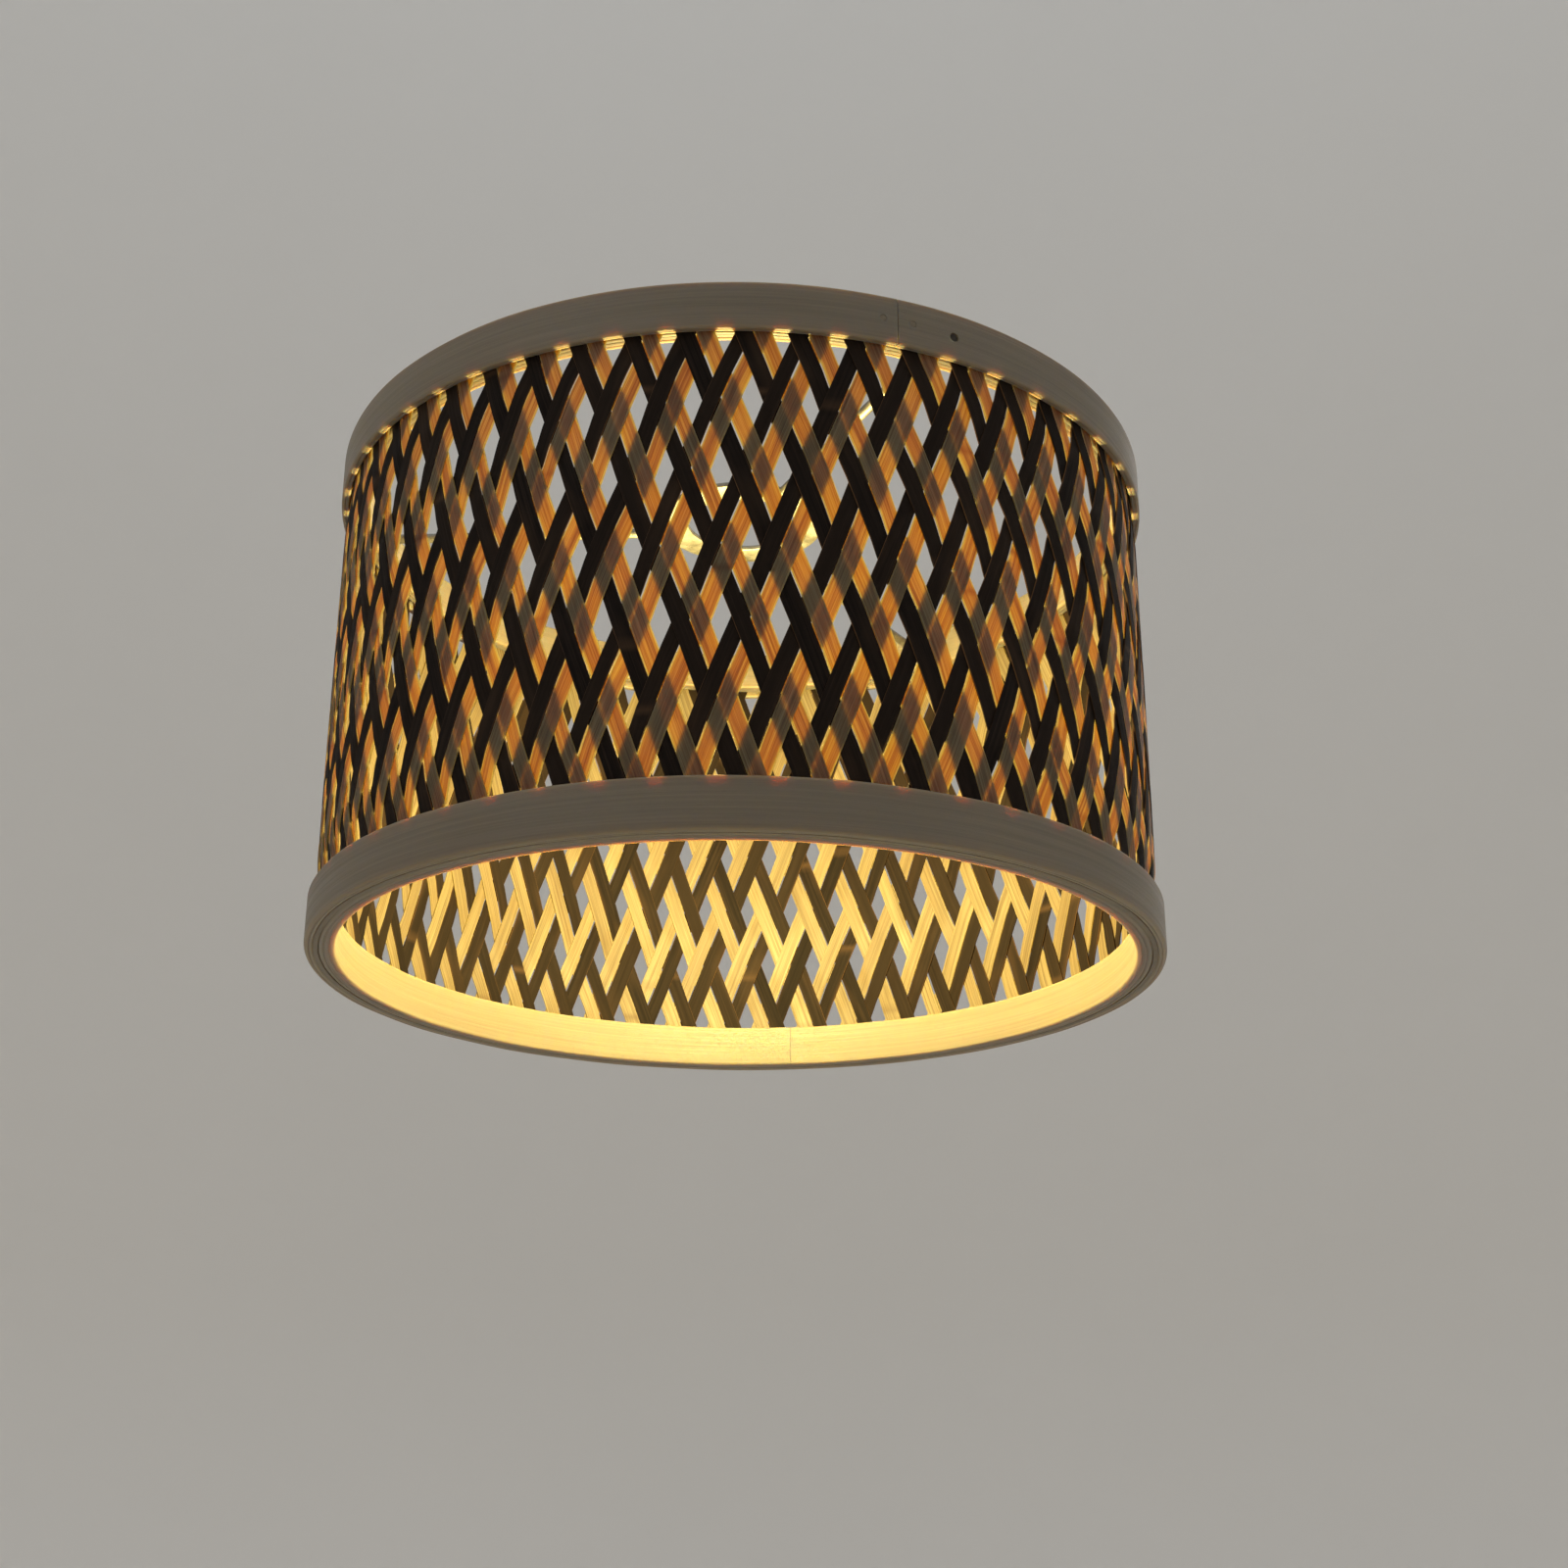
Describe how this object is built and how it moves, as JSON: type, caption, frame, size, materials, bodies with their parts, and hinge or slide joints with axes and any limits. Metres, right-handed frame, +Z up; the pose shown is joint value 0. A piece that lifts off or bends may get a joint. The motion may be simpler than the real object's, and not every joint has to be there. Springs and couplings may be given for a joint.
{
  "type": "lamp shade",
  "caption": "Straight-sided drum lamp shade of diagonally woven split bamboo between bent bamboo hoops, with a wire fitter inside its top rim.",
  "frame": {"origin": "centre of the bottom rim, in the plane that the shade stands on", "axes": "+Z up along the shade's axis from the bottom rim to the fitter; -Y is the side seen in the picture; the top outer hoop's seam is at azimuth -69.5 degrees from +X"},
  "size_m": [0.3, 0.3, 0.186],
  "materials": {
    "natural_bamboo": "clear-sealed split bamboo, satin",
    "dyed_bamboo": "dark brown dyed split bamboo, satin",
    "zinc_plated_steel": "dull zinc plate with a warm tint",
    "blued_steel": "dark blued wire nail"
  },
  "bodies": {
    "root": {"top_outer_hoop": "natural_bamboo", "top_inner_hoop": "natural_bamboo", "bottom_outer_hoop": "natural_bamboo", "bottom_inner_hoop": "natural_bamboo", "woven_bamboo_wall": "dyed_bamboo", "fitter_ring": "zinc_plated_steel", "fitter_arm_1": "zinc_plated_steel", "fitter_arm_2": "zinc_plated_steel", "fitter_arm_3": "zinc_plated_steel", "arm_foot_1": "zinc_plated_steel", "arm_foot_2": "zinc_plated_steel", "arm_foot_3": "zinc_plated_steel", "arm_nail_1": "blued_steel", "arm_nail_2": "blued_steel", "arm_nail_3": "blued_steel", "top_seam_brad_left": "blued_steel", "top_seam_brad_right": "blued_steel", "bottom_seam_brad_left": "blued_steel", "bottom_seam_brad_right": "blued_steel"}
  },
  "joints": []
}
